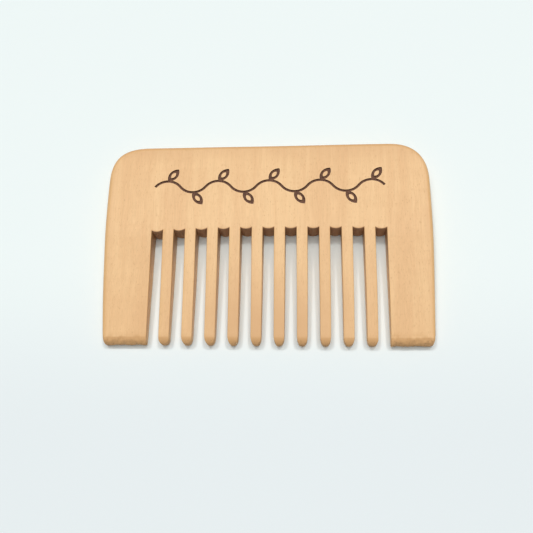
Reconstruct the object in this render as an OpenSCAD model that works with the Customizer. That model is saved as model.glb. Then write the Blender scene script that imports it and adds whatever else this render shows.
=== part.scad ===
// Wide-tooth beard comb, sawn and ground from one flat board of pale fruitwood.
// Frame: X runs across the teeth, Y from the tooth tips towards the back of the
// comb, Z up. The comb lies flat, with the centre of its box on the origin in
// X and Y and its lower face on Z = 0.
// The board is one piece of wood: the nodes are its named regions, which meet
// face to face on the plane where the slots end.

/* [Board] */
// Width of the comb where it is widest
comb_w = 100; // [90:1:140]
// Height of the solid back, from the slot ends to the upper edge
back_h = 28.5; // [25:0.5:60]
// Thickness of the board
board_t = 6.8; // [5:0.1:10]
// How much narrower each side is at the feet than where it is widest
side_taper = 1.4; // [0.5:0.1:4]
// Distance of the widest place above the slot ends
widest_above_slots = 10; // [0:0.5:15]
// Width of each rounded shoulder, along X
shoulder_w = 11.5; // [6:0.5:16]
// Height of each rounded shoulder, along Y
shoulder_h = 11; // [5:0.5:12]
// Radius that eases the outer edges of the board
edge_r = 1.3; // [0.5:0.1:2.4]
// Radius of the outer corners at the feet of the end guards
foot_outer_r = 1.6; // [0.5:0.1:3]
// Radius of the inner corners at the feet of the end guards
foot_inner_r = 0.7; // [0.3:0.1:2]

/* [Teeth] */
// Number of slender teeth between the two end guards
tooth_count = 10; // [4:1:12]
// Length of the teeth and of the slots between them
tooth_l = 35; // [20:0.5:60]
// Distance between the middles of neighbouring slots
pitch = 6.8; // [5.5:0.1:8]
// Width of a slot where it ends in the back
slot_root_w = 3.4; // [2:0.1:4]
// Width of a slot where the tips begin to round off
slot_tip_w = 3.7; // [2:0.1:4.2]
// Thickness of the teeth where the tips begin to round off
tip_t = 3.4; // [2.4:0.1:4.8]
// How much higher the lower face lies there than under the back
tip_lift = 0.6; // [0:0.1:1.6]
// Height of the foremost point of a tip above its lower face
nose_h = 1.1; // [0.6:0.1:1.7]
// Length over which the tips and the feet round off
tip_round_l = 2.6; // [1:0.1:4]
// How far the middle of a slot's end stands lower than its two corners
kerf_crown = 0.5; // [0.1:0.05:0.8]

/* [Engraving] */
// Number of bends in the engraved vine
vine_bends = 9; // [3:1:10]
// Length of one bend, along X
bend_l = 7.9; // [6:0.1:8]
// Height of a bend above the vine's centre line
bend_rise = 1.9; // [1:0.1:2.6]
// Width of an engraved line
line_w = 0.8; // [0.4:0.05:1]
// Length of an engraved leaf
leaf_l = 5.2; // [3:0.1:6]
// Width of an engraved leaf
leaf_w = 2.8; // [1.8:0.1:3]
// Lean of the leaves from the vine
leaf_lean = 52; // [35:1:70]
// Depth of the engraved lines
groove_d = 0.45; // [0.2:0.05:1]
// Distance of the vine's centre line above the slot ends
vine_above_slots = 14.2; // [9:0.1:18]

/* [Hidden] */
TOOTH_NAMES = [for (i = [1 : tooth_count]) str("tooth_", i < 10 ? "0" : "", i)];

wood = [0.92, 0.75, 0.55];
comb_h = back_h + tooth_l;
top_y = comb_h / 2;
tip_y = -comb_h / 2;
root_y = tip_y + tooth_l;
widest_y = root_y + widest_above_slots;
mid_z = board_t / 2;
over = 1;        // how far a cutting shape runs past what it cuts
edge_steps = 4;  // facets across the eased edge, from face to side
arc_steps = 12;  // facets across a rounded shoulder of the plan
foot_steps = 6;  // facets across a rounded corner of a foot, or half a tip
bow_steps = 8;   // facets along the bowed side, below and above its widest place

// Points of an elliptical arc about c, from angle a0 to a1.
function arc(c, rx, ry, a0, a1, n) =
    [for (k = [0 : n]) let (a = a0 + (a1 - a0) * k / n) [c[0] + rx * cos(a), c[1] + ry * sin(a)]];

// Half width of the comb at height y: a long bow, widest at widest_y.
function half_width(y) = comb_w / 2 - side_taper * pow((y - widest_y) / (tip_y - widest_y), 2);

// Middle of slot k, from 0 to tooth_count.
function slot_x(k) = (k - tooth_count / 2) * pitch;

// Width of a slot at height y.
function slot_w(y) =
    slot_root_w + (slot_tip_w - slot_root_w) * (root_y - y) / (tooth_l - tip_round_l);

// Points of the bowed side between the heights y0 and y1, without its two ends.
function bow(y0, y1) =
    [for (k = [1 : bow_steps - 1]) let (y = y0 + (y1 - y0) * k / bow_steps) [half_width(y), y]];

// Right half of the plan, from the foot up to the upper edge.
function right_side() =
    let (
        shoulder_y = top_y - shoulder_h,
        shoulder_x = half_width(shoulder_y),
        heel_y = tip_y + foot_outer_r,
        heel_x = half_width(heel_y)
    )
    concat(
        arc([heel_x - foot_outer_r, heel_y], foot_outer_r, foot_outer_r, -90, 0, foot_steps),
        bow(heel_y, widest_y),
        [[half_width(widest_y), widest_y]],
        bow(widest_y, shoulder_y),
        arc([shoulder_x - shoulder_w, shoulder_y], shoulder_w, shoulder_h, 0, 90, arc_steps)
    );

// Outline of the whole comb, without its slots.
module plan() {
    right = right_side();
    left = [for (k = [len(right) - 1 : -1 : 0]) [-right[k][0], right[k][1]]];
    polygon(concat(right, left));
}

// The board with its outer edges eased, before it is sawn and tapered.
module blank() {
    hull()
        for (k = [0 : edge_steps]) {
            a = 90 * k / edge_steps;
            layer_t = board_t - 2 * edge_r * (1 - sin(a));
            translate([0, 0, mid_z - layer_t / 2])
                linear_extrude(layer_t)
                    offset(delta = -edge_r * (1 - cos(a)))
                        plan();
        }
}

// Side view of a tooth, in Y and Z: it thins from the root to a round tip.
module tooth_side() {
    root = [[root_y, board_t], [root_y, 0]];
    nose_mid = [tip_y + tip_round_l, tip_lift + nose_h];
    step_a = 90 / foot_steps;
    under = arc(nose_mid, tip_round_l, nose_h, 270, 180, foot_steps);
    above = arc(nose_mid, tip_round_l, tip_t - nose_h, 180 - step_a, 90, foot_steps - 1);
    polygon(concat(root, under, above));
}

// Everything between x0 and x1 that lies inside the side view of a tooth.
module tooth_slice(x0, x1) {
    translate([x0, 0, 0])
        rotate([90, 0, 90])
            linear_extrude(x1 - x0)
                tooth_side();
}

// Plan of a slender tooth centred on x = 0, with a round tip.
module tooth_plan() {
    root_w = pitch - slot_root_w;
    tip_w = pitch - slot_tip_w;
    root = [[root_w / 2, root_y], [-root_w / 2, root_y]];
    tip = arc([0, tip_y + tip_round_l], tip_w / 2, tip_round_l, 180, 360, 2 * foot_steps);
    polygon(concat(root, tip));
}

// Slender tooth i, from 1 at the left to tooth_count at the right.
module tooth(i) {
    color(wood)
        translate([slot_x(i - 0.5), 0, 0])
            intersection() {
                linear_extrude(board_t)
                    tooth_plan();
                tooth_slice(-pitch, pitch);
            }
}

// Plan of the right end guard, wider than the blank on its outer side.
module guard_plan() {
    slot_mid_x = slot_x(tooth_count);
    outer_x = comb_w / 2 + over;
    toe_x = slot_mid_x + slot_w(tip_y) / 2 + foot_inner_r;
    toe = arc([toe_x, tip_y + foot_inner_r], foot_inner_r, foot_inner_r, 180, 270, foot_steps);
    root = [[outer_x, root_y], [slot_mid_x + slot_w(root_y) / 2, root_y]];
    polygon(concat(root, toe, [[outer_x, tip_y]]));
}

// End guard: side is -1 for the left one and 1 for the right one.
module end_guard(side) {
    color(wood)
        mirror([side < 0 ? 1 : 0, 0, 0])
            intersection() {
                blank();
                tooth_slice(0, comb_w / 2 + over);
                linear_extrude(board_t)
                    guard_plan();
            }
}

// What the saw takes out of the back at the end of one slot: two raised corners
// beside a crown in the middle.
module kerf_end() {
    crown_r = (pow(slot_root_w / 2, 2) + pow(kerf_crown, 2)) / (2 * kerf_crown);
    difference() {
        translate([-slot_root_w / 2, root_y - over])
            square([slot_root_w, kerf_crown + over]);
        translate([0, root_y + crown_r])
            circle(r = crown_r, $fn = 96);
    }
}

// One bend of the vine from [0, 0] to [bend_l, 0], bulging upwards.
module bend() {
    bend_r = (pow(bend_l / 2, 2) + pow(bend_rise, 2)) / (2 * bend_rise);
    translate([bend_l / 2, bend_rise - bend_r])
        intersection() {
            difference() {
                circle(r = bend_r + line_w / 2, $fn = 96);
                circle(r = bend_r - line_w / 2, $fn = 96);
            }
            translate([-bend_l / 2 - line_w / 4, bend_r - bend_rise])
                square([bend_l + line_w / 2, bend_rise + line_w]);
        }
}

// A lens with its points at [0, 0] and [l, 0].
module lens(l, w) {
    lens_r = (pow(l / 2, 2) + pow(w / 2, 2)) / w;
    intersection() {
        translate([l / 2, w / 2 - lens_r])
            circle(r = lens_r, $fn = 96);
        translate([l / 2, lens_r - w / 2])
            circle(r = lens_r, $fn = 96);
    }
}

// Outline of a leaf with its stalk at [0, 0], pointing along X.
module leaf() {
    inset = line_w * leaf_l / leaf_w;
    difference() {
        lens(leaf_l, leaf_w);
        translate([inset, 0])
            lens(leaf_l - 2 * inset, leaf_w - 2 * line_w);
    }
}

// The engraved ornament: a vine of equal bends with a leaf on each bend.
module vine() {
    translate([-vine_bends * bend_l / 2, root_y + vine_above_slots])
        for (k = [0 : vine_bends - 1])
            translate([k * bend_l, 0])
                mirror([0, k % 2, 0]) {
                    bend();
                    translate([bend_l / 2, bend_rise])
                        rotate(leaf_lean)
                            leaf();
                }
}

// Solid back of the comb, with the ends of the slots and the engraving cut in.
module back() {
    color(wood)
        difference() {
            intersection() {
                blank();
                translate([-comb_w / 2 - over, root_y, 0])
                    cube([comb_w + 2 * over, back_h + over, board_t]);
            }
            for (k = [0 : tooth_count])
                translate([slot_x(k), 0, -over])
                    linear_extrude(board_t + 2 * over)
                        kerf_end();
            translate([0, 0, board_t - groove_d])
                linear_extrude(groove_d + over)
                    vine();
        }
}

back();
end_guard(-1);  // end_guard_left
end_guard(1);  // end_guard_right
for (i = [1 : tooth_count])
    tooth(i);
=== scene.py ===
"""Adds a wide-toothed beard comb of pale pear wood.

The comb is one board, sawn, ground and sanded, with a vine engraved in its upper face.
"""

import math

import bmesh
import bpy
from bpy.props import FloatProperty, FloatVectorProperty, IntProperty, PointerProperty
from mathutils import Matrix, Vector, noise


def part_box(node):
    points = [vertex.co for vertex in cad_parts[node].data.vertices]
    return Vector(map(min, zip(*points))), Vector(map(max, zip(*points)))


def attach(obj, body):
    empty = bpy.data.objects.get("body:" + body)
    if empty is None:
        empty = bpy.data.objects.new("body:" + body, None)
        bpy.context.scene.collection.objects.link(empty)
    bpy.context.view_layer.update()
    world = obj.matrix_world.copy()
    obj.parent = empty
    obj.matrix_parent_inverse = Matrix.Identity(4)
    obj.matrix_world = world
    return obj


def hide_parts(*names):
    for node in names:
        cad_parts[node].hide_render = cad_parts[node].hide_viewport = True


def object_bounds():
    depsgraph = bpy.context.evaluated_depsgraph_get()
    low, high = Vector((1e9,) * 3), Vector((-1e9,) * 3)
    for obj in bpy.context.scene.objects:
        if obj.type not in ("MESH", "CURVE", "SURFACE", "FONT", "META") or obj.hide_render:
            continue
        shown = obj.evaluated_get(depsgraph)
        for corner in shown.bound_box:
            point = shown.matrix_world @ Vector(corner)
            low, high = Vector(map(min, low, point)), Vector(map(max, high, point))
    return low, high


bl_info = {
    "name": "Beard Comb",
    "version": (1, 0, 0),
    "blender": (4, 5, 0),
    "location": "View3D > Sidebar > Comb",
    "description": "Adds a pear wood beard comb with ground teeth and an engraved vine",
    "category": "Add Mesh",
}

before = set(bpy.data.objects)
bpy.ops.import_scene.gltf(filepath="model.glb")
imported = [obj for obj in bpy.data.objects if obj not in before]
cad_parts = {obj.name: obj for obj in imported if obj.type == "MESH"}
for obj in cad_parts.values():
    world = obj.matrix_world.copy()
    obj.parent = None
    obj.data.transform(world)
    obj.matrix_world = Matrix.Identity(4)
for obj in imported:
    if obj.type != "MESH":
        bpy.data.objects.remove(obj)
MM = 0.001

# What the frame fixes: the board's box, the slot ends and the row of teeth.
LOW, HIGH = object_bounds()
TEETH = sorted(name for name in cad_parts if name.startswith("tooth_"))
GUARDS = {"end_guard_left": -1, "end_guard_right": 1}
BOARD_W = HIGH.x - LOW.x
BOARD_T = HIGH.z - LOW.z
MID_Z = (HIGH.z + LOW.z) / 2
ROOT_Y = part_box("back")[0].y
TIP_Y = LOW.y
TOP_Y = HIGH.y
TOOTH_L = ROOT_Y - TIP_Y


def middle_x(node):
    """Middle of a CAD node across the teeth."""
    low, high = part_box(node)
    return (low.x + high.x) / 2


PITCH = (middle_x(TEETH[-1]) - middle_x(TEETH[0])) / (len(TEETH) - 1)
TOOTH_ROOT_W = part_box(TEETH[0])[1].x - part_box(TEETH[0])[0].x
SLOT_ROOT_W = PITCH - TOOTH_ROOT_W
GUARD_INNER_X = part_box("end_guard_right")[0].x
BOARD_NAME = "comb_board"


class CombBoardSizes(bpy.types.PropertyGroup):
    """Sizes of the sawn and sanded board that its CAD box doesn't give."""

    side_taper: FloatProperty(
        name="Side taper", description="How much narrower each side is at the feet",
        default=1.4 * MM, unit="LENGTH")
    widest_above_slots: FloatProperty(
        name="Widest place", description="Height of the widest place above the slot ends",
        default=10 * MM, unit="LENGTH")
    shoulder_left: FloatProperty(
        name="Left shoulder", description="Size of the rounded upper left corner",
        default=14 * MM, unit="LENGTH")
    shoulder_right: FloatProperty(
        name="Right shoulder", description="Size of the rounded upper right corner",
        default=13 * MM, unit="LENGTH")
    foot_r: FloatProperty(
        name="Foot radius", description="Radius of the outer corners at the feet",
        default=1.6 * MM, unit="LENGTH")
    edge_r: FloatProperty(
        name="Edge radius", description="Radius that eases the board's outer edges",
        default=1.25 * MM, unit="LENGTH")
    arris_r: FloatProperty(
        name="Slot edge radius", description="Radius that eases the edges of the slots",
        default=0.25 * MM, unit="LENGTH")
    slot_tip_w: FloatProperty(
        name="Slot width at the tips", description="Width of a slot between the tips",
        default=3.7 * MM, unit="LENGTH")
    kerf_crown: FloatProperty(
        name="Kerf crown", description="How far the middle of a slot's end stands below its corners",
        default=0.5 * MM, unit="LENGTH")
    tip_t: FloatProperty(
        name="Tip thickness", description="Thickness of the teeth where their tips round off",
        default=3.4 * MM, unit="LENGTH")
    tip_l: FloatProperty(
        name="Tip length", description="Length over which the middle tips round off",
        default=2.6 * MM, unit="LENGTH")
    tip_lift: FloatProperty(
        name="Tip lift", description="Height of the tips' lower face above that of the back",
        default=0.6 * MM, unit="LENGTH")
    uneven_slots: FloatProperty(
        name="Uneven slots", description="How much shorter the slot at the far left is",
        default=0.75 * MM, unit="LENGTH")
    uneven_tips: FloatProperty(
        name="Uneven tips", description="How much shorter the tooth at the far left is at its tip",
        default=0.3 * MM, unit="LENGTH")
    lean: FloatProperty(
        name="Lean", description="How far the sanded outline leans away from the row of slots",
        default=0.7 * MM, unit="LENGTH")
    top_slope: FloatProperty(
        name="Top slope", description="How much higher the upper edge is at one end than in the middle",
        default=0.3 * MM, unit="LENGTH")
    hand_work: FloatProperty(
        name="Hand work", description="How far the sanded outline strays from a true one",
        default=0.12 * MM, unit="LENGTH")


class CombVineSizes(bpy.types.PropertyGroup):
    """Sizes of the engraved vine."""

    bends: IntProperty(name="Bends", description="Number of bends in the vine", default=9, min=1)
    bend_l: FloatProperty(
        name="Bend length", description="Length of one bend across the board",
        default=7.9 * MM, unit="LENGTH")
    bend_rise: FloatProperty(
        name="Bend height", description="Height of a bend above the vine's centre line",
        default=1.9 * MM, unit="LENGTH")
    line_w: FloatProperty(
        name="Line width", description="Width of an engraved line",
        default=0.8 * MM, unit="LENGTH")
    leaf_l: FloatProperty(
        name="Leaf length", description="Length of an engraved leaf",
        default=5.2 * MM, unit="LENGTH")
    leaf_w: FloatProperty(
        name="Leaf width", description="Width of an engraved leaf",
        default=2.8 * MM, unit="LENGTH")
    leaf_lean: FloatProperty(
        name="Leaf lean", description="Angle between a leaf and the row of teeth",
        default=math.radians(52), subtype="ANGLE")
    depth: FloatProperty(
        name="Depth", description="Depth of the engraved lines",
        default=0.45 * MM, unit="LENGTH")
    above_slots: FloatProperty(
        name="Height", description="Distance of the vine's centre line above the slot ends",
        default=14.2 * MM, unit="LENGTH")


def wood_colour(name, description, colour):
    """A colour property with its default in linear light."""
    return FloatVectorProperty(
        name=name, description=description, default=colour, size=3, min=0, max=1, subtype="COLOR")


class CombWood(bpy.types.PropertyGroup):
    """Colours and sheen of the wood, its end grain, the painted shade of its slots and its char."""

    pale: wood_colour("Pale wood", "Colour of the palest streaks", (0.875, 0.555, 0.262))
    deep: wood_colour("Deep wood", "Colour of the deepest streaks", (0.80, 0.475, 0.212))
    # A deeper tone near the sides, the upper edge and towards the tips, and on the eased rims.
    edge: wood_colour("Handled wood", "Colour towards the board's edges", (0.71, 0.405, 0.175))
    end_grain: wood_colour("End grain", "Colour where the fibres are cut across", (0.56, 0.30, 0.125))
    # Torn fibres of the feet and tips, with painted shade towards their ends; also the painted shade of the
    # slot walls near the back.
    ground: wood_colour("Ground ends", "Colour of the torn fibres of feet and tips", (0.26, 0.125, 0.055))
    # The slot ends' end grain, painted darker as the shade deep in the slots.
    sawn: wood_colour("Sawn ends", "Colour of the scorched ends of the slots", (0.53, 0.305, 0.178))
    char: wood_colour("Char", "Colour of the burnt floor of the engraving", (0.215, 0.098, 0.052))
    soot: wood_colour("Soot", "Colour of the darkest char", (0.070, 0.030, 0.018))
    roughness: FloatProperty(
        name="Roughness", description="Roughness of the sanded faces", default=0.46, min=0, max=1)


class CombStage(bpy.types.PropertyGroup):
    """The floor, the lights and the camera."""

    floor: wood_colour("Floor", "Colour of the floor", (0.865, 0.935, 0.925))
    # Painted shade: the floor darker in front of the comb, where the light falls off.
    floor_near: wood_colour("Near floor", "Colour of the floor in front of the comb", (0.80, 0.856, 0.868))
    sky: FloatProperty(name="Sky", description="Share of the light that comes from all round", default=0.15)
    overhead: FloatProperty(
        name="Overhead", description="Share of the light from straight above", default=0.56)
    overhead_size: FloatProperty(
        name="Overhead size", description="Width of the overhead light in the sky",
        default=math.radians(58), subtype="ANGLE")
    lamp: FloatProperty(name="Lamp", description="Share of the light from each lamp", default=0.145)
    lamp_size: FloatProperty(
        name="Lamp size", description="Width of each lamp in the sky",
        default=math.radians(4), subtype="ANGLE")
    azimuth: FloatProperty(
        name="Azimuth", description="Turn of the camera about the comb",
        default=math.radians(10.46), subtype="ANGLE")
    elevation: FloatProperty(
        name="Elevation", description="Height of the camera above the table",
        default=math.radians(71.06), subtype="ANGLE")
    roll: FloatProperty(
        name="Roll", description="Turn of the camera about its own axis",
        default=math.radians(10.16), subtype="ANGLE")
    distance: FloatProperty(
        name="Distance", description="Distance from the camera to the comb",
        default=206 * MM, unit="LENGTH")
    aim_x: FloatProperty(
        name="Aim across", description="Place that the camera looks at, across the teeth",
        default=-0.58 * MM, unit="LENGTH")
    aim_y: FloatProperty(
        name="Aim along", description="Place that the camera looks at, along the teeth",
        default=-7.73 * MM, unit="LENGTH")
    lens: FloatProperty(name="Lens", description="Focal length in millimetres", default=46.0)


# ---------------------------------------------------------------- the board

SLOT_COLUMNS = 4  # grid columns across a slot, so that its end can bow
SLOT_COUNT = len(TEETH) + 1
GUARD_COLUMNS = 11  # columns of faces across an end guard
SHOULDER_STEPS = 20
LEFT_FULLNESS = 0.645  # 0.5 rounds a corner to a circle's arc, and more is squarer
RIGHT_FULLNESS = 0.573
FOOT_FULLNESS = 0.6
FOOT_STEPS = 6
TIP_STEPS = 7
EDGE_STEPS = 6
ARRIS_STEPS = 3
COARSE_ROW_GAP = 4 * MM  # rows of the flat board, so that its sides can bow
ROW_GAP = 1 * MM  # rows of the finished board, so that its faces can be ground
BLUNT = 0.42  # thickness left at the very end of a tip, as a share
NOSE_DROP = 0.18  # how far a tip's end lies below its middle, as a share of the thickness
CHAMFER = 1.7  # 2 rounds the ends off as an ellipse does, and less is flatter
TIP_FULLNESS = 1.15  # 1 gives the tips an elliptical outline, and more a blunter one
WELD = 1e-7
SHORT_EDGE = 0.1 * MM  # shorter edges of the outline would fold when the board is eased
SHARP_ANGLE = math.radians(60)  # faces that meet at more than this have a sharp edge
SMOOTH_ANGLE = math.radians(40)  # faces that meet at less than this are shaded as one
TIP_FLAT = 0.04 * MM  # half of the flat left between the two rounded corners of a tip
OUTER_BLUNTNESS = 0.5  # share by which the outermost tips round off over a shorter length
SLOT_END_BEND = 2.4  # how late the slot ends begin to fall towards the sides
RIGHT_SHARE = 0.35  # how much they fall at the right, as a share of the left
SOFT_BEND = 3 * MM  # how far above and below the slot ends the faces bend into their slope
FOOT_LEAN = 0.3  # how much of the outline's lean is left at the feet
WANDER_L = 22 * MM  # length of the waves that hand sanding leaves
WANDER_SEED = 3.7
FACE_WANDER = 0.25  # how much the faces stray, as a share of the outline
END_REACH = 1.5 * MM  # how far the end wall of a slot may lie from the common slot ends
END_FACING = -0.6  # the largest Y of its normal, as it looks towards the tips


def slot_middle(k):
    """Middle of slot k across the board, from 0 at the left."""
    return (k - len(TEETH) / 2) * PITCH


def slot_end(sizes, x):
    """Height of a slot's end, which the saw reached a little less far towards the sides."""
    share = x / slot_middle(SLOT_COUNT - 1)
    return ROOT_Y - sizes.uneven_slots * abs(share) ** SLOT_END_BEND * (1.0 if x < 0 else RIGHT_SHARE)


def half_width(sizes, y):
    """Half width of the board at height y: a long bow."""
    widest = ROOT_Y + sizes.widest_above_slots
    share = (y - widest) / (TIP_Y - widest)
    return BOARD_W / 2 - sizes.side_taper * share * share


def grid_columns(slot_w):
    """X of each column of the board's grid where the slots are slot_w wide."""
    columns = [LOW.x]
    for k in range(SLOT_COUNT):
        left = slot_middle(k) - slot_w / 2
        columns += [left + slot_w * j / SLOT_COLUMNS for j in range(SLOT_COLUMNS + 1)]
    return columns + [HIGH.x]


def lay_out_grid(sizes):
    """A flat grid with a column for every slot edge and rows at the tips, the roots and the top."""
    at_tips = grid_columns(sizes.slot_tip_w)
    at_roots = grid_columns(SLOT_ROOT_W)
    spans = len(at_roots) - 1
    bm = bmesh.new()
    bmesh.ops.create_grid(bm, x_segments=spans, y_segments=2, size=1)
    for v in bm.verts:
        column = round((v.co.x + 1) / 2 * spans)
        row = round(v.co.y + 1)
        x = (at_tips if row == 0 else at_roots)[column]
        y = (TIP_Y, ROOT_Y, TOP_Y)[row]
        if row == 1:
            y = slot_end(sizes, x)
        if row == 1 and 0 < column < spans:
            across = 2 * ((column - 1) % (SLOT_COLUMNS + 1)) / SLOT_COLUMNS - 1
            y += sizes.kerf_crown * across * across
        v.co = Vector((x, y, LOW.z))
    return bm


def open_slots(bm):
    """Takes out the faces between the teeth."""
    gone = []
    for f in bm.faces:
        middle = f.calc_center_median()
        if middle.y > ROOT_Y:
            continue
        if any(abs(middle.x - slot_middle(k)) < SLOT_ROOT_W / 2 for k in range(SLOT_COUNT)):
            gone.append(f)
    bmesh.ops.delete(bm, geom=gone, context="FACES")


def round_corners(bm, corners, radius, steps, profile=0.5):
    """Rounds the given corners of the flat board."""
    bmesh.ops.bevel(
        bm, geom=corners, offset=radius, offset_type="OFFSET", segments=steps, profile=profile,
        affect="VERTICES", material=-1, clamp_overlap=True)


def round_outline(bm, sizes):
    """Rounds the shoulders, the feet and the tips of the teeth."""
    shoulders = (
        (-1, sizes.shoulder_left, LEFT_FULLNESS),
        (1, sizes.shoulder_right, RIGHT_FULLNESS))
    for side, radius, fullness in shoulders:
        corner = [v for v in bm.verts if side * v.co.x > HIGH.x - WELD and v.co.y > TOP_Y - WELD]
        round_corners(bm, corner, radius, SHOULDER_STEPS, fullness)
    feet = [v for v in bm.verts if abs(v.co.x) > HIGH.x - WELD and v.co.y < TIP_Y + WELD]
    round_corners(bm, feet, sizes.foot_r, FOOT_STEPS, FOOT_FULLNESS)
    reach = slot_middle(SLOT_COUNT - 1)
    tip_r = (PITCH - sizes.slot_tip_w) / 2 - TIP_FLAT
    tips = [v for v in bm.verts if v.co.y < TIP_Y + WELD and abs(v.co.x) < reach]
    round_corners(bm, tips, tip_r, TIP_STEPS)
    for v in bm.verts:
        if v.co.y < TIP_Y + tip_r + WELD and abs(v.co.x) < reach:
            # The outer teeth are the bluntest, as a drum sander leaves them.
            length = sizes.tip_l * (1 - OUTER_BLUNTNESS * (v.co.x / reach) ** 4)
            share = (v.co.y - TIP_Y) / tip_r
            v.co.y = TIP_Y + max(0.0, share) ** TIP_FULLNESS * length


def cut(bm, place, normal, wanted=None):
    """Cuts the wanted faces, or all of them, along a plane."""
    faces = [f for f in bm.faces if wanted is None or wanted(f)]
    edges = {e for f in faces for e in f.edges}
    verts = {v for f in faces for v in f.verts}
    bmesh.ops.bisect_plane(
        bm, geom=[*verts, *edges, *faces], dist=WELD, plane_co=place, plane_no=normal)


def cut_rows(bm, rows, wanted=None):
    """Cuts the mesh along the given heights, all over or only in some faces."""
    for y in rows:
        cut(bm, Vector((0, y, 0)), Vector((0, 1, 0)), wanted)


def cut_columns(bm, columns, wanted=None):
    """Cuts the mesh along the given places across the board."""
    for x in columns:
        cut(bm, Vector((x, 0, 0)), Vector((1, 0, 0)), wanted)


def bow_sides(bm, sizes):
    """Moves the straight sides out to the bowed outline."""
    inner = GUARD_INNER_X + SLOT_ROOT_W
    for v in bm.verts:
        if abs(v.co.x) > inner:
            share = (half_width(sizes, v.co.y) - inner) / (BOARD_W / 2 - inner)
            v.co.x = math.copysign(inner + (abs(v.co.x) - inner) * share, v.co.x)


def thicken(bm):
    """Gives the flat board its thickness."""
    made = bmesh.ops.extrude_face_region(bm, geom=bm.faces[:])
    upper = [g for g in made["geom"] if isinstance(g, bmesh.types.BMVert)]
    bmesh.ops.translate(bm, verts=upper, vec=(0, 0, BOARD_T))
    bmesh.ops.recalc_face_normals(bm, faces=bm.faces[:])


def sharp(edge):
    """True for an edge where two faces meet at a steep angle."""
    return edge.is_manifold and edge.calc_face_angle() > SHARP_ANGLE


def on_outer_edge(sizes, edge):
    """True for an upper or lower edge on the outline, apart from those in the slots."""
    a, b = (v.co for v in edge.verts)
    if abs(a.z - b.z) > WELD:
        return False
    middle = (a + b) / 2
    foot = middle.y < TIP_Y + sizes.foot_r and abs(middle.x) > GUARD_INNER_X + WELD
    in_slot = abs(a.x - b.x) < abs(a.y - b.y) and abs(middle.x) < GUARD_INNER_X + SLOT_ROOT_W
    side = abs(middle.x) > GUARD_INNER_X + SLOT_ROOT_W
    return (foot and not in_slot) or side or middle.y > ROOT_Y + 3 * sizes.kerf_crown


def ease_edges(bm, edges, radius, steps):
    """Rounds the given edges of the board."""
    bmesh.ops.bevel(
        bm, geom=edges, offset=radius, offset_type="OFFSET", segments=steps, profile=0.5,
        affect="EDGES", material=-1, clamp_overlap=False, miter_outer="SHARP", miter_inner="SHARP")


def hollow_corner(edge):
    """True for an upright edge in the corner of a slot's end, which the saw leaves sharp."""
    a, b = (v.co for v in edge.verts)
    return abs(a.z - b.z) > WELD and not edge.is_convex


def face_levels(sizes, y):
    """Heights of the lower and the upper face at a place along the board."""
    below = max(0.0, ROOT_Y + SOFT_BEND - y)
    run = below * below / (4 * SOFT_BEND) if below < 2 * SOFT_BEND else below - SOFT_BEND
    share = min(1.0, run / (TOOTH_L - sizes.tip_l))
    fall = BOARD_T - sizes.tip_lift - sizes.tip_t
    return LOW.z + sizes.tip_lift * share, HIGH.z - fall * share


def grind_faces(bm, sizes):
    """Thins the teeth towards their tips and rounds the tips off, on both faces."""
    for v in bm.verts:
        lower, upper = face_levels(sizes, v.co.y)
        into_tip = min(1.0, max(0.0, TIP_Y + sizes.tip_l - v.co.y) / sizes.tip_l)
        round_off = BLUNT + (1 - BLUNT) * (1 - into_tip ** CHAMFER) ** (1 / CHAMFER)
        share = (v.co.z - MID_Z) / BOARD_T
        middle = 0.5 - NOSE_DROP * into_tip ** 2
        v.co.z = lower + (upper - lower) * (middle + share * round_off)


def wander(place, size, seed):
    """A smooth random vector field whose waves are about as long as size."""
    return noise.noise_vector(place / size + Vector((seed, 2 * seed, 3 * seed)))


def sand_by_hand(bm, sizes):
    """Lets the outline and faces stray a little, as hand sanding does."""
    for v in bm.verts:
        outer = max(0.0, abs(v.co.x) - GUARD_INNER_X) / (HIGH.x - GUARD_INNER_X)
        lean = FOOT_LEAN + (1 - FOOT_LEAN) * (v.co.y - TIP_Y) / (TOP_Y - TIP_Y)
        v.co.x -= sizes.lean * outer * lean
        v.co.y += sizes.top_slope * v.co.x / HIGH.x * max(0.0, v.co.y - ROOT_Y) / (TOP_Y - ROOT_Y)
        leftmost = max(0.0, 1 - abs(v.co.x + GUARD_INNER_X) / GUARD_INNER_X)
        v.co.y += sizes.uneven_tips * leftmost * max(0.0, ROOT_Y - v.co.y) / TOOTH_L
        drift = wander(v.co, WANDER_L, WANDER_SEED)
        v.co += Vector((drift.x, drift.y, FACE_WANDER * drift.z)) * sizes.hand_work
        # Nothing sinks below the plane that the comb lies on.
        v.co.z = max(v.co.z, LOW.z)


FOOT_L = 3 * MM  # length of a guard's coarsely ground end
FOOT_FADE = 1.6 * MM  # length over which the coarse grinding fades out
FOOT_MARGIN = 0.2 * MM  # how much further the small faces run than the grinding
FOOT_STEP = 0.35 * MM  # width of a face there, small enough to tear
FOOT_ROWS = 8
TORN_DEPTH = 0.20 * MM
WORN_DEPTH = 0.06 * MM
INNER_TEAR = 0.3  # how much the inner corner of a guard is torn, as a share
FOOT_WAVE = 0.3 * MM  # how far the end of a guard strays from a straight line
FOOT_WAVE_L = 3.2 * MM
FOOT_WAVE_SEED = 5.1
TEAR_SIZE = (0.7 * MM, 1.6 * MM, 1.1 * MM)


def in_foot(face):
    """True for a face in the coarsely ground end of an end guard."""
    middle = face.calc_center_median()
    return middle.y < TIP_Y + FOOT_L + FOOT_MARGIN and abs(middle.x) > GUARD_INNER_X - MM


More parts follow.
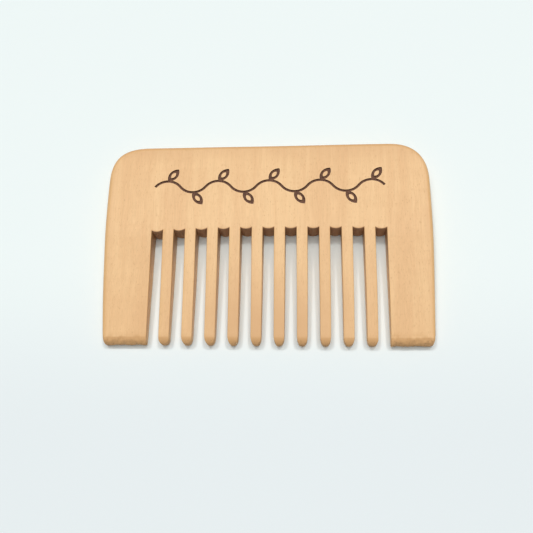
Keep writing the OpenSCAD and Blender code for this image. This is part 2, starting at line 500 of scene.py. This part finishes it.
def rough_feet(bm):
    """Leaves the ends of the guards uneven and torn, as coarse grinding across the fibres does."""
    count = round((HIGH.x - GUARD_INNER_X) / FOOT_STEP)
    for side in (-1, 1):
        cut_columns(bm, [side * (GUARD_INNER_X + FOOT_STEP * k) for k in range(count)], in_foot)
    cut_rows(bm, [TIP_Y + FOOT_STEP * (k + 1) for k in range(FOOT_ROWS)], in_foot)
    bm.normal_update()
    moves = []
    for v in bm.verts:
        height = v.co.y - TIP_Y
        if height > FOOT_L or abs(v.co.x) < GUARD_INNER_X - MM:
            continue
        fade = min(1.0, (FOOT_L - height) / FOOT_FADE)
        fade *= min(1.0, (abs(v.co.x) - GUARD_INNER_X) / MM + INNER_TEAR)
        wave = noise.noise(Vector((v.co.x / FOOT_WAVE_L, FOOT_WAVE_SEED, 0)))
        torn = noise.noise(Vector([along / size for along, size in zip(v.co, TEAR_SIZE)]))
        lift = TORN_DEPTH * torn - WORN_DEPTH
        moves.append((v, (v.normal * lift + Vector((0, FOOT_WAVE * wave, 0))) * fade))
    for v, move in moves:
        v.co += move


def mark_slot_ends(bm):
    """Gives the ends of the slots the board's second material, their end grain painted darker as shade."""
    bm.normal_update()
    for f in bm.faces:
        place = f.calc_center_median()
        near = abs(place.y - ROOT_Y) < END_REACH and abs(place.x) < slot_middle(SLOT_COUNT)
        if near and f.normal.y < END_FACING:
            f.material_index = 1


def saw_board(sizes):
    """The whole board as one mesh: outline, slots, eased edges, ground teeth and rough feet."""
    bm = lay_out_grid(sizes)
    open_slots(bm)
    round_outline(bm, sizes)
    rows = math.ceil((TOP_Y - TIP_Y) / COARSE_ROW_GAP)
    cut_rows(bm, [TIP_Y + (k + 0.5) * (TOP_Y - TIP_Y) / rows for k in range(1, rows - 1)])
    bmesh.ops.remove_doubles(bm, verts=bm.verts[:], dist=SHORT_EDGE)
    bow_sides(bm, sizes)
    thicken(bm)
    ease_edges(bm, [e for e in bm.edges if sharp(e) and on_outer_edge(sizes, e)], sizes.edge_r, EDGE_STEPS)
    ease_edges(bm, [e for e in bm.edges if sharp(e) and not hollow_corner(e)], sizes.arris_r, ARRIS_STEPS)
    cut_rows(bm, [TIP_Y + k * ROW_GAP for k in range(1, round((TOP_Y - TIP_Y) / ROW_GAP))])
    turns = [math.pi / 2 * k / TIP_STEPS for k in range(1, TIP_STEPS)]
    cut_rows(bm, [TIP_Y + sizes.tip_l * (1 - math.cos(turn)) for turn in turns])
    span = (HIGH.x - GUARD_INNER_X) / GUARD_COLUMNS
    for side in (-1, 1):
        cut_columns(bm, [side * (GUARD_INNER_X + span * (k + 0.5)) for k in range(GUARD_COLUMNS - 1)])
    bmesh.ops.remove_doubles(bm, verts=bm.verts[:], dist=WELD)
    grind_faces(bm, sizes)
    sand_by_hand(bm, sizes)
    rough_feet(bm)
    bmesh.ops.recalc_face_normals(bm, faces=bm.faces[:])
    mark_slot_ends(bm)
    return bm


def store(bm, name):
    """Turns a bmesh into an object in the scene."""
    mesh = bpy.data.meshes.new(name)
    bm.to_mesh(mesh)
    bm.free()
    piece = bpy.data.objects.new(name, mesh)
    bpy.context.scene.collection.objects.link(piece)
    return piece


class COMB_OT_board(bpy.types.Operator):
    """Saws, rounds and sands the whole board"""

    bl_idname = "comb.board"
    bl_label = "Board"

    def execute(self, context):
        board = store(saw_board(context.scene.comb_board), BOARD_NAME)
        board.data.materials.append(pear_wood(context.scene.comb_wood))
        board.data.materials.append(slot_ends_and_shade(context.scene.comb_wood))
        return {"FINISHED"}


# ---------------------------------------------------------------- the engraving

BEND_STEPS = 14
LEAF_STEPS = 10
CUTTER_OVER = 0.5 * MM


def arc_step(bm, geom, centre, angle, steps):
    """Spins geometry about an upright axis and returns what lies at the end of the arc."""
    made = bmesh.ops.spin(
        bm, geom=geom, cent=centre, axis=(0, 0, 1), dvec=(0, 0, 0), angle=angle, steps=steps,
        use_merge=False, use_duplicate=False)
    return made["geom_last"]


def draw_stem(bm, vine):
    """The vine's stem: a flat ribbon of equal bends that turn up and down in turn."""
    radius = ((vine.bend_l / 2) ** 2 + vine.bend_rise ** 2) / (2 * vine.bend_rise)
    half = math.asin(vine.bend_l / 2 / radius)
    start = Vector((-vine.bends * vine.bend_l / 2, 0, 0))
    outward = Vector((-math.sin(half), math.cos(half), 0)) * vine.line_w / 2
    ends = [bm.verts.new(start - outward), bm.verts.new(start + outward)]
    last = [*ends, bm.edges.new(ends)]
    for k in range(vine.bends):
        up = 1 if k % 2 == 0 else -1
        centre = start + Vector(((k + 0.5) * vine.bend_l, up * (vine.bend_rise - radius), 0))
        last = arc_step(bm, last, centre, -up * 2 * half, BEND_STEPS)


def draw_lens(bm, length, width):
    """The outline of a lens centred on the origin, with its points along X."""
    radius = ((length / 2) ** 2 + (width / 2) ** 2) / width
    half = math.asin(length / 2 / radius)
    start = bm.verts.new((-length / 2, 0, 0))
    last = [start]
    for side in (1, -1):
        last = arc_step(bm, last, (0, side * (width / 2 - radius), 0), -2 * half, LEAF_STEPS)
    end = next(v for v in last if isinstance(v, bmesh.types.BMVert))
    bmesh.ops.weld_verts(bm, targetmap={end: start})


def draw_leaf(vine):
    """The engraved outline of one leaf, a ring with its stalk on the origin."""
    bm = bmesh.new()
    inset = vine.line_w * vine.leaf_l / vine.leaf_w
    draw_lens(bm, vine.leaf_l, vine.leaf_w)
    draw_lens(bm, vine.leaf_l - 2 * inset, vine.leaf_w - 2 * vine.line_w)
    bmesh.ops.bridge_loops(bm, edges=bm.edges[:])
    bmesh.ops.translate(bm, verts=bm.verts[:], vec=(vine.leaf_l / 2, 0, 0))
    return bm


def place_leaves(vine):
    """One leaf on every bend, above and below the stem in turn."""
    bm = bmesh.new()
    for k in range(vine.bends):
        up = 1 if k % 2 == 0 else -1
        leaf = draw_leaf(vine)
        turn = Matrix.Rotation(vine.leaf_lean, 3, "Z")
        bmesh.ops.rotate(leaf, verts=leaf.verts[:], cent=(0, 0, 0), matrix=turn)
        bmesh.ops.scale(leaf, verts=leaf.verts[:], vec=(1, up, 1))
        stalk = Vector(((k + 0.5 - vine.bends / 2) * vine.bend_l, up * vine.bend_rise, 0))
        bmesh.ops.translate(leaf, verts=leaf.verts[:], vec=stalk)
        mesh = bpy.data.meshes.new("leaf")
        leaf.to_mesh(mesh)
        leaf.free()
        bm.from_mesh(mesh)
        bpy.data.meshes.remove(mesh)
    return bm


def sink(bm, vine):
    """Turns a flat drawing into the solid that the engraver's beam removes."""
    made = bmesh.ops.extrude_face_region(bm, geom=bm.faces[:])
    upper = [g for g in made["geom"] if isinstance(g, bmesh.types.BMVert)]
    bmesh.ops.translate(bm, verts=upper, vec=(0, 0, vine.depth + CUTTER_OVER))
    bmesh.ops.translate(
        bm, verts=bm.verts[:], vec=(0, ROOT_Y + vine.above_slots, HIGH.z - vine.depth))
    bmesh.ops.recalc_face_normals(bm, faces=bm.faces[:])


def cut_away(board, cutter):
    """Takes one solid out of the board, and its material with it."""
    step = board.modifiers.new("engrave", "BOOLEAN")
    step.operation = "DIFFERENCE"
    step.solver = "EXACT"
    step.material_mode = "TRANSFER"
    step.object = cutter
    finished = board.evaluated_get(bpy.context.evaluated_depsgraph_get())
    mesh = bpy.data.meshes.new_from_object(finished)
    board.modifiers.clear()
    board.data = mesh
    bpy.data.objects.remove(cutter)


class COMB_OT_vine(bpy.types.Operator):
    """Engraves the vine and its leaves in the board's upper face"""

    bl_idname = "comb.vine"
    bl_label = "Vine"

    def execute(self, context):
        vine = context.scene.comb_vine
        char = charred_wood(context.scene.comb_wood)
        stem = bmesh.new()
        draw_stem(stem, vine)
        for name, bm in (("stem", stem), ("leaves", place_leaves(vine))):
            sink(bm, vine)
            cutter = store(bm, name)
            cutter.data.materials.append(char)
            cut_away(context.scene.objects[BOARD_NAME], cutter)
        return {"FINISHED"}


# ---------------------------------------------------------------- the named pieces

PARTING_Y = ROOT_Y - 0.9 * MM  # just below the slot ends, so that no slot's end is cut


def cut_piece(board, name, wanted):
    """A closed copy of the part of the board whose faces are wanted."""
    bm = bmesh.new()
    bm.from_mesh(board.data)
    cut(bm, Vector((0, PARTING_Y, 0)), Vector((0, 1, 0)))
    bmesh.ops.delete(
        bm, geom=[f for f in bm.faces if not wanted(f.calc_center_median())], context="FACES")
    bmesh.ops.holes_fill(bm, edges=[e for e in bm.edges if e.is_boundary], sides=0)
    bmesh.ops.recalc_face_normals(bm, faces=bm.faces[:])
    piece = store(bm, name)
    for material in board.data.materials:
        piece.data.materials.append(material)
    piece.data.shade_smooth()
    piece.data.set_sharp_from_angle(angle=SMOOTH_ANGLE)
    return piece


def in_guard(place, side):
    """True for a place in the end guard on the given side."""
    return place.y < PARTING_Y and side * place.x > GUARD_INNER_X - MM


def in_tooth(place, x):
    """True for a place in the slender tooth whose middle is at x."""
    return place.y < PARTING_Y and abs(place.x - x) < PITCH / 2


def part_off(board, node, wanted):
    """Parts one piece from the board and lets it stand for its CAD node."""
    piece = cut_piece(board, "comb_" + node, wanted)
    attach(piece, "root")
    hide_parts(node)


class COMB_OT_pieces(bpy.types.Operator):
    """Parts the board into its back, its end guards and its teeth"""

    bl_idname = "comb.pieces"
    bl_label = "Pieces"

    def execute(self, context):
        board = context.scene.objects[BOARD_NAME]
        part_off(board, "back", lambda place: place.y > PARTING_Y)
        for node, side in GUARDS.items():
            part_off(board, node, lambda place: in_guard(place, side))
        for node in TEETH:
            x = middle_x(node)
            part_off(board, node, lambda place: in_tooth(place, x))
        bpy.data.objects.remove(board)
        return {"FINISHED"}


# ---------------------------------------------------------------- the wood


def feed(tree, socket, value):
    """Links an output to a socket, or sets the socket to a plain value."""
    if isinstance(value, bpy.types.NodeSocket):
        tree.links.new(value, socket)
    else:
        socket.default_value = value


def add(tree, kind, settings=None, **sockets):
    """Adds a node, sets its options and feeds its sockets."""
    made = tree.nodes.new(kind)
    for key, value in (settings or {}).items():
        setattr(made, key, value)
    for key, value in sockets.items():
        feed(tree, made.inputs[key.replace("_", " ")], value)
    return made


def maths(tree, operation, *values):
    """The result of one Math node."""
    made = add(tree, "ShaderNodeMath", {"operation": operation})
    for socket, value in zip(made.inputs, values):
        feed(tree, socket, value)
    return made.outputs[0]


def vector_maths(tree, operation, *values):
    """The result of one Vector Math node."""
    made = add(tree, "ShaderNodeVectorMath", {"operation": operation})
    for socket, value in zip(made.inputs, values):
        feed(tree, socket, value)
    return made.outputs[0]


def times(tree, value, by):
    """A value multiplied by another or by a number."""
    return maths(tree, "MULTIPLY", value, by)


def swing(tree, value, width):
    """A noise from 0 to 1 made to swing about 0, over the given width."""
    return times(tree, maths(tree, "SUBTRACT", value, 0.5), width)


def ramp(tree, value, low, high, to_low=0.0, to_high=1.0):
    """A smooth step of a value from low to high."""
    made = add(
        tree, "ShaderNodeMapRange", {"interpolation_type": "SMOOTHSTEP"},
        Value=value, From_Min=low, From_Max=high, To_Min=to_low, To_Max=to_high)
    return made.outputs["Result"]


def blend_colour(tree, share, a, b, mode="MIX"):
    """Two colours mixed by a share."""
    made = add(tree, "ShaderNodeMix", {"data_type": "RGBA", "blend_type": mode})
    factor, colour_a, colour_b = made.inputs[0], made.inputs[6], made.inputs[7]
    for socket, value in ((factor, share), (colour_a, a), (colour_b, b)):
        feed(tree, socket, value)
    return made.outputs[2]


def grey(tree, value):
    """A grey colour of the given value."""
    made = add(tree, "ShaderNodeCombineColor", Red=value, Green=value, Blue=value)
    return made.outputs[0]


def stretched_noise(tree, place, sizes, detail=2.0, roughness=0.5, shift=0.0):
    """Noise whose features have the given size in metres along X, Y and Z."""
    mapping = add(
        tree, "ShaderNodeMapping", Vector=place,
        Scale=[1 / size for size in sizes], Location=(shift, shift, shift))
    made = add(
        tree, "ShaderNodeTexNoise", Vector=mapping.outputs[0],
        Scale=1.0, Detail=detail, Roughness=roughness)
    return made.outputs["Fac"]


def new_group(name, inputs, outputs):
    """An empty shader node group with its sockets, and its input and output nodes."""
    tree = bpy.data.node_groups.new(name, "ShaderNodeTree")
    for label, kind, value in inputs:
        socket = tree.interface.new_socket(label, in_out="INPUT", socket_type=kind)
        socket.default_value = value
    for label, kind in outputs:
        tree.interface.new_socket(label, in_out="OUTPUT", socket_type=kind)
    return tree, tree.nodes.new("NodeGroupInput"), tree.nodes.new("NodeGroupOutput")


def built_once(build):
    """Lets a builder of a shader group give the same group each time it is called."""
    name = build.__name__.replace("_", " ").title()

    def group():
        return bpy.data.node_groups.get(name) or build(name)
    return group


# Layers of the wood's figure: share, size of the features, detail, roughness and shift.
FIGURE = (
    (0.42, (5 * MM, 90 * MM, 5 * MM), 3.0, 0.55, 0.0),  # broad streaks
    (0.24, (1.3 * MM, 38 * MM, 1.3 * MM), 2.0, 0.5, 4.0),  # narrow streaks
    (0.10, (9 * MM, 1.6 * MM, 9 * MM), 2.0, 0.5, 8.0),  # faint figure across the grain
    (0.24, (16 * MM, 24 * MM, 16 * MM), 2.0, 0.5, 12.0),  # blotches
)
WARP_SCALE = 45.0  # waves to a metre in the run of the fibres
WARP = 2.4 * MM  # how far the fibres stray sideways


@built_once
def pear_fibres(name):
    """Pear wood's figure: streaks, fine fibres and pores along Y, and a faint cross figure."""
    tree, given, out = new_group(
        name,
        [("Coarseness", "NodeSocketFloat", 1.0)],
        [("Streak", "NodeSocketFloat"), ("Fibre", "NodeSocketFloat"),
         ("Pore", "NodeSocketFloat"), ("Height", "NodeSocketFloat")])
    place = tree.nodes.new("ShaderNodeTexCoord").outputs["Object"]
    warp = add(tree, "ShaderNodeTexNoise", Vector=place, Scale=WARP_SCALE, Detail=2.0)
    bent = vector_maths(tree, "MULTIPLY_ADD", warp.outputs["Color"], (WARP, 0, WARP), place)
    grain = vector_maths(tree, "DIVIDE", bent, given.outputs["Coarseness"])
    figure = 0.0
    for share, sizes, detail, roughness, shift in FIGURE:
        layer = stretched_noise(tree, grain, sizes, detail, roughness, shift)
        figure = maths(tree, "MULTIPLY_ADD", layer, share, figure)
    tree.links.new(ramp(tree, figure, 0.38, 0.62), out.inputs["Streak"])

    fibre = stretched_noise(tree, grain, (0.22 * MM, 7 * MM, 0.22 * MM), 2.0, 0.6, 16.0)
    tree.links.new(fibre, out.inputs["Fibre"])
    pits = stretched_noise(tree, grain, (0.16 * MM, 0.9 * MM, 0.16 * MM), 0.0, 0.5, 20.0)
    pore = ramp(tree, pits, 0.70, 0.80)
    tree.links.new(pore, out.inputs["Pore"])
    tree.links.new(maths(tree, "SUBTRACT", fibre, times(tree, pore, 0.6)), out.inputs["Height"])
    return tree


@built_once
def end_grain(name):
    """How far a surface cuts across the fibres, which run along Y."""
    tree, given, out = new_group(
        name,
        [("Start", "NodeSocketFloat", 0.2), ("Full", "NodeSocketFloat", 0.9)],
        [("Mask", "NodeSocketFloat"), ("Rings", "NodeSocketFloat")])
    coords = tree.nodes.new("ShaderNodeTexCoord")
    parts = add(tree, "ShaderNodeSeparateXYZ", Vector=coords.outputs["Normal"])
    across = maths(tree, "ABSOLUTE", parts.outputs["Y"])
    mask = ramp(tree, across, given.outputs["Start"], given.outputs["Full"])
    tree.links.new(mask, out.inputs["Mask"])
    rings = stretched_noise(tree, coords.outputs["Object"], (0.5 * MM, 3 * MM, 0.25 * MM), 3.0, 0.6, 24.0)
    tree.links.new(rings, out.inputs["Rings"])
    return tree


@built_once
def ground_ends(name):
    """The rough, darkened last stretch of the feet and teeth, with an uneven upper limit: torn fibres, with
    painted shade that deepens towards the ends.
    """
    tree, given, out = new_group(
        name,
        [("Height", "NodeSocketFloat", 2.6 * MM)],
        [("Mask", "NodeSocketFloat"), ("Tear", "NodeSocketFloat")])
    place = tree.nodes.new("ShaderNodeTexCoord").outputs["Object"]
    parts = add(tree, "ShaderNodeSeparateXYZ", Vector=place)
    wave = stretched_noise(tree, place, (2.2 * MM, 9 * MM, 2.2 * MM), 3.0, 0.65, 28.0)
    height = maths(tree, "SUBTRACT", parts.outputs["Y"], TIP_Y)
    from_middle = maths(tree, "ABSOLUTE", parts.outputs["X"])
    on_foot = ramp(tree, from_middle, GUARD_INNER_X - 1.5 * MM, GUARD_INNER_X, 0.75, 1.0)
    share = maths(tree, "DIVIDE", height, times(tree, given.outputs["Height"], on_foot))
    share = maths(tree, "ADD", share, swing(tree, wave, 1.1))
    begins = ramp(tree, share, 1.0, 0.65)
    # Painted shade: darker towards the very ends, which round off away from the light.
    painted_end_shade = ramp(tree, share, 1.0, -0.1, 0.2, 1.0)
    tree.links.new(times(tree, begins, painted_end_shade), out.inputs["Mask"])
    tear = stretched_noise(tree, place, (0.55 * MM, 1.5 * MM, 0.55 * MM), 3.0, 0.65, 32.0)
    tree.links.new(ramp(tree, tear, 0.52, 0.72), out.inputs["Tear"])
    return tree


@built_once
def edge_tone(name):
    """Where the tone deepens: near the sides and the upper edge, and towards the tips."""
    tree, given, out = new_group(
        name,
        [("Reach", "NodeSocketFloat", 6 * MM)],
        [("Mask", "NodeSocketFloat"), ("Tips", "NodeSocketFloat")])
    place = tree.nodes.new("ShaderNodeTexCoord").outputs["Object"]
    parts = add(tree, "ShaderNodeSeparateXYZ", Vector=place)
    from_middle = maths(tree, "ABSOLUTE", parts.outputs["X"])
    side = times(tree, maths(tree, "SUBTRACT", HIGH.x, from_middle), 2.2)
    top = maths(tree, "SUBTRACT", TOP_Y, parts.outputs["Y"])
    near = maths(tree, "SMOOTH_MIN", side, top, 4 * MM)
    drift = stretched_noise(tree, place, (9 * MM, 14 * MM, 9 * MM), 3.0, 0.6, 40.0)
    near = maths(tree, "ADD", near, swing(tree, drift, 5 * MM))
    share = maths(tree, "DIVIDE", near, given.outputs["Reach"])
    tree.links.new(ramp(tree, share, 1.0, 0.0), out.inputs["Mask"])

    low = ramp(tree, parts.outputs["Y"], ROOT_Y - 8 * MM, TIP_Y + 5 * MM)
    inner = ramp(tree, from_middle, GUARD_INNER_X, 6 * MM, 0.12, 0.95)
    inner = maths(tree, "ADD", inner, swing(tree, drift, 0.6))
    tree.links.new(times(tree, low, inner), out.inputs["Tips"])
    return tree


@built_once
def sawn_walls(name):
    """The walls of the slots: painted shade where they run deep into the back, and the saw's marks."""
    tree, given, out = new_group(
        name,
        [("Reach", "NodeSocketFloat", 12 * MM)],
        [("Mask", "NodeSocketFloat"), ("Marks", "NodeSocketFloat")])
    coords = tree.nodes.new("ShaderNodeTexCoord")
    place = add(tree, "ShaderNodeSeparateXYZ", Vector=coords.outputs["Object"]).outputs
    normal = add(tree, "ShaderNodeSeparateXYZ", Vector=coords.outputs["Normal"]).outputs
    upright = ramp(tree, maths(tree, "ABSOLUTE", normal["X"]), 0.55, 0.95)
    inside = maths(tree, "LESS_THAN", maths(tree, "ABSOLUTE", place["X"]), GUARD_INNER_X + MM)
    near = maths(tree, "DIVIDE", maths(tree, "SUBTRACT", ROOT_Y, place["Y"]), given.outputs["Reach"])
    wall = times(tree, upright, inside)
    tree.links.new(times(tree, wall, ramp(tree, near, 1.0, 0.0)), out.inputs["Mask"])
    marks = stretched_noise(tree, coords.outputs["Object"], (4 * MM, 0.5 * MM, 3 * MM), shift=48.0)
    tree.links.new(times(tree, wall, marks), out.inputs["Marks"])
    return tree


def group_node(tree, group, **sockets):
    """Places a shader group in a material and returns its outputs."""
    return add(tree, "ShaderNodeGroup", {"node_tree": group}, **sockets).outputs


def new_material(name):
    """An empty material with its shader and output."""
    material = bpy.data.materials.new(name)
    material.use_nodes = True
    tree = material.node_tree
    shader = next(n for n in tree.nodes if n.type == "BSDF_PRINCIPLED")
    return material, tree, shader


def rgba(colour):
    """A colour with full alpha."""
    return (*colour, 1.0)


def finish_surface(tree, shader, colour, roughness, height, depth):
    """Links colour, roughness and bump to a shader."""
    tree.links.new(colour, shader.inputs["Base Color"])
    tree.links.new(roughness, shader.inputs["Roughness"])
    bump = add(tree, "ShaderNodeBump", Height=height, Distance=depth, Strength=1.0)
    tree.links.new(bump.outputs[0], shader.inputs["Normal"])


def pear_wood(wood):
    """The sanded pear wood of the faces, the eased edges and the ground ends, with painted shade on the
    slot walls near the back and towards the ends of the feet and tips.
    """
    material, tree, shader = new_material("pear_wood")
    grain = group_node(tree, pear_fibres(), Coarseness=1.0)
    rim = group_node(tree, end_grain(), Start=0.04, Full=0.35)
    ends = group_node(tree, end_grain(), Start=0.40, Full=1.0)
    ground = group_node(tree, ground_ends(), Height=2.4 * MM)
    tone = group_node(tree, edge_tone(), Reach=8 * MM)
    walls = group_node(tree, sawn_walls(), Reach=14 * MM)

    face = blend_colour(tree, grain["Streak"], rgba(wood.pale), rgba(wood.deep))
    fibre = ramp(tree, grain["Fibre"], 0.3, 0.7, 1.03, 0.95)
    face = blend_colour(tree, 1.0, face, grey(tree, fibre), "MULTIPLY")
    face = blend_colour(tree, times(tree, grain["Pore"], 0.45), face, rgba(wood.end_grain))
    face = blend_colour(tree, times(tree, tone["Mask"], 0.48), face, rgba(wood.edge))
    face = blend_colour(tree, tone["Tips"], face, rgba(wood.edge))

    colour = blend_colour(tree, times(tree, rim["Mask"], 0.85), face, rgba(wood.edge))
    # Painted shade: the slot walls darken towards the back, where the slots are deepest.
    colour = blend_colour(tree, times(tree, walls["Mask"], 0.6), colour, rgba(wood.ground))
    rings = ramp(tree, ends["Rings"], 0.3, 0.7)
    cut_across = blend_colour(tree, rings, rgba(wood.end_grain), rgba(wood.edge))
    colour = blend_colour(tree, times(tree, ends["Mask"], 0.85), colour, cut_across)
    # Torn fibres at the ground ends, darkened further towards the ends as painted shade.
    torn = blend_colour(tree, ground["Tear"], rgba(wood.end_grain), rgba(wood.ground))
    worn = maths(tree, "MULTIPLY_ADD", ground["Tear"], 0.65, 0.14)
    colour = blend_colour(tree, times(tree, ground["Mask"], worn), colour, torn)

    rough = maths(tree, "MULTIPLY_ADD", grain["Fibre"], 0.12, wood.roughness - 0.06)
    rough = maths(tree, "MULTIPLY_ADD", rim["Mask"], 0.12, rough)
    rough = maths(tree, "MULTIPLY_ADD", ground["Mask"], 0.25, rough)
    height = maths(tree, "SUBTRACT", grain["Height"], times(tree, ground["Mask"], ground["Tear"]))
    height = maths(tree, "ADD", height, walls["Marks"])
    finish_surface(tree, shader, colour, rough, height, 0.03 * MM)
    return material


def slot_ends_and_shade(wood):
    """The end grain at the ends of the slots, painted darker as the shade deep in the slots."""
    material, tree, shader = new_material("slot_ends_and_shade")
    ends = group_node(tree, end_grain(), Start=0.2, Full=0.9)
    pale = ramp(tree, ends["Rings"], 0.35, 0.7, 0.0, 0.6)
    colour = blend_colour(tree, pale, rgba(wood.sawn), rgba(wood.end_grain))
    rough = ramp(tree, ends["Rings"], 0.2, 0.8, 0.9, 0.7)
    finish_surface(tree, shader, colour, rough, ends["Rings"], 0.04 * MM)
    return material


def charred_wood(wood):
    """The burnt floor and walls of the engraving."""
    material, tree, shader = new_material("charred_wood")
    grain = group_node(tree, pear_fibres(), Coarseness=0.8)
    place = tree.nodes.new("ShaderNodeTexCoord").outputs["Object"]
    crust = stretched_noise(tree, place, (0.3 * MM, 0.5 * MM, 0.3 * MM), 3.0, 0.6, 36.0)
    burnt = maths(tree, "MULTIPLY_ADD", crust, 0.6, times(tree, grain["Fibre"], 0.4))
    colour = blend_colour(tree, ramp(tree, burnt, 0.35, 0.65), rgba(wood.soot), rgba(wood.char))
    rough = ramp(tree, crust, 0.2, 0.8, 0.95, 0.75)
    finish_surface(tree, shader, colour, rough, crust, 0.05 * MM)
    return material


# ---------------------------------------------------------------- the stage

LAMP_LEAN = 0.27  # sideways lean of each lamp's light, per unit of height
LAMP_BACK = 0.40  # how far the lamps stand behind the comb, per unit of height
OVERHEAD_BACK = 0.10  # the same for the light overhead
FLOOR_SIZE = 1.5  # half the floor's width, in metres
FLOOR_GAP = 0.02 * MM  # keeps the floor just clear of the comb's lower face
NEAR_FLOOR_Y = -60 * MM  # where the floor has reached its nearer colour
SKY_COLOUR = (0.97, 1.0, 1.0, 1)
SKY_SEEN = 0.93  # strength of the sky where it shows as a backdrop


def lay_floor(stage):
    """A pale floor under the comb, painted darker towards the front as shade where the light falls off."""
    bm = bmesh.new()
    bmesh.ops.create_grid(bm, x_segments=1, y_segments=1, size=FLOOR_SIZE)
    bmesh.ops.translate(bm, verts=bm.verts[:], vec=(0, 0, LOW.z - FLOOR_GAP))
    floor = store(bm, "floor")
    material, tree, shader = new_material("pale_floor")
    place = tree.nodes.new("ShaderNodeTexCoord").outputs["Object"]
    y = add(tree, "ShaderNodeSeparateXYZ", Vector=place).outputs["Y"]
    # Painted shade: the floor darkens towards the front.
    near = ramp(tree, y, 0.0, NEAR_FLOOR_Y)
    colour = blend_colour(tree, near, rgba(stage.floor), rgba(stage.floor_near))
    tree.links.new(colour, shader.inputs["Base Color"])
    shader.inputs["Roughness"].default_value = 0.6
    shader.inputs["Specular IOR Level"].default_value = 0.2
    floor.data.materials.append(material)


def hang_lamp(name, towards, share, size):
    """A distant lamp that gives a level floor the given share of its light."""
    lamp = bpy.data.lights.new(name, "SUN")
    lamp.energy = share * math.pi / towards.normalized().z
    lamp.angle = size
    holder = bpy.data.objects.new(name, lamp)
    bpy.context.scene.collection.objects.link(holder)
    holder.location = towards
    holder.rotation_mode = "QUATERNION"
    holder.rotation_quaternion = towards.to_track_quat("Z", "Y")


def light_sky(stage):
    """Soft light from all round, which the camera sees as a pale backdrop."""
    world = bpy.data.worlds.new("sky")
    bpy.context.scene.world = world
    world.use_nodes = True
    tree = world.node_tree
    background = next(n for n in tree.nodes if n.type == "BACKGROUND")
    background.inputs["Color"].default_value = SKY_COLOUR
    seen = tree.nodes.new("ShaderNodeLightPath").outputs["Is Camera Ray"]
    tree.links.new(ramp(tree, seen, 0, 1, stage.sky, SKY_SEEN), background.inputs["Strength"])


def set_camera(stage):
    """The camera, above the comb and a little in front of its teeth."""
    data = bpy.data.cameras.new("camera")
    data.lens = stage.lens
    data.clip_start = 10 * MM
    data.clip_end = 10
    camera = bpy.data.objects.new("camera", data)
    bpy.context.scene.collection.objects.link(camera)
    target = Vector((stage.aim_x, stage.aim_y, MID_Z))
    away = Vector((
        math.sin(stage.azimuth) * math.cos(stage.elevation),
        -math.cos(stage.azimuth) * math.cos(stage.elevation),
        math.sin(stage.elevation)))
    camera.location = target + away * stage.distance
    camera.rotation_euler = away.to_track_quat("Z", "Y").to_euler()
    camera.rotation_euler.rotate_axis("Z", -stage.roll)
    bpy.context.scene.camera = camera


class COMB_OT_stage(bpy.types.Operator):
    """Adds the floor, the lamps, the sky and the camera"""

    bl_idname = "comb.stage"
    bl_label = "Stage"

    def execute(self, context):
        stage = context.scene.comb_stage
        lay_floor(stage)
        hang_lamp("overhead", Vector((0, OVERHEAD_BACK, 1)), stage.overhead, stage.overhead_size)
        for name, side in (("lamp_left", -1), ("lamp_right", 1)):
            towards = Vector((side * LAMP_LEAN, LAMP_BACK, 1))
            hang_lamp(name, towards, stage.lamp, stage.lamp_size)
        light_sky(stage)
        set_camera(stage)
        context.scene.view_settings.view_transform = "Standard"
        return {"FINISHED"}


# ---------------------------------------------------------------- the add-on


class COMB_PT_panel(bpy.types.Panel):
    """Lists the steps that make the comb"""

    bl_idname = "COMB_PT_panel"
    bl_label = "Beard Comb"
    bl_space_type = "VIEW_3D"
    bl_region_type = "UI"
    bl_category = "Comb"

    def draw(self, context):
        for step in STEPS:
            self.layout.operator(step.bl_idname)
        for group in GROUPS:
            for key in GROUPS[group].__annotations__:
                self.layout.prop(getattr(context.scene, group), key)


STEPS = (COMB_OT_board, COMB_OT_vine, COMB_OT_pieces, COMB_OT_stage)
GROUPS = {
    "comb_board": CombBoardSizes,
    "comb_vine": CombVineSizes,
    "comb_wood": CombWood,
    "comb_stage": CombStage,
}


def register():
    """Registers the add-on's classes and its settings."""
    for made in (*GROUPS.values(), *STEPS, COMB_PT_panel):
        bpy.utils.register_class(made)
    for name, group in GROUPS.items():
        setattr(bpy.types.Scene, name, PointerProperty(type=group))


def unregister():
    """Takes the add-on's settings and classes away again."""
    for name in GROUPS:
        delattr(bpy.types.Scene, name)
    for made in (COMB_PT_panel, *reversed(STEPS), *reversed(GROUPS.values())):
        bpy.utils.unregister_class(made)


def main():
    """Makes the comb and its stage."""
    register()
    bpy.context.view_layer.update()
    bpy.ops.comb.board()
    bpy.ops.comb.vine()
    bpy.ops.comb.pieces()
    bpy.ops.comb.stage()


if __name__ == "__main__":
    main()
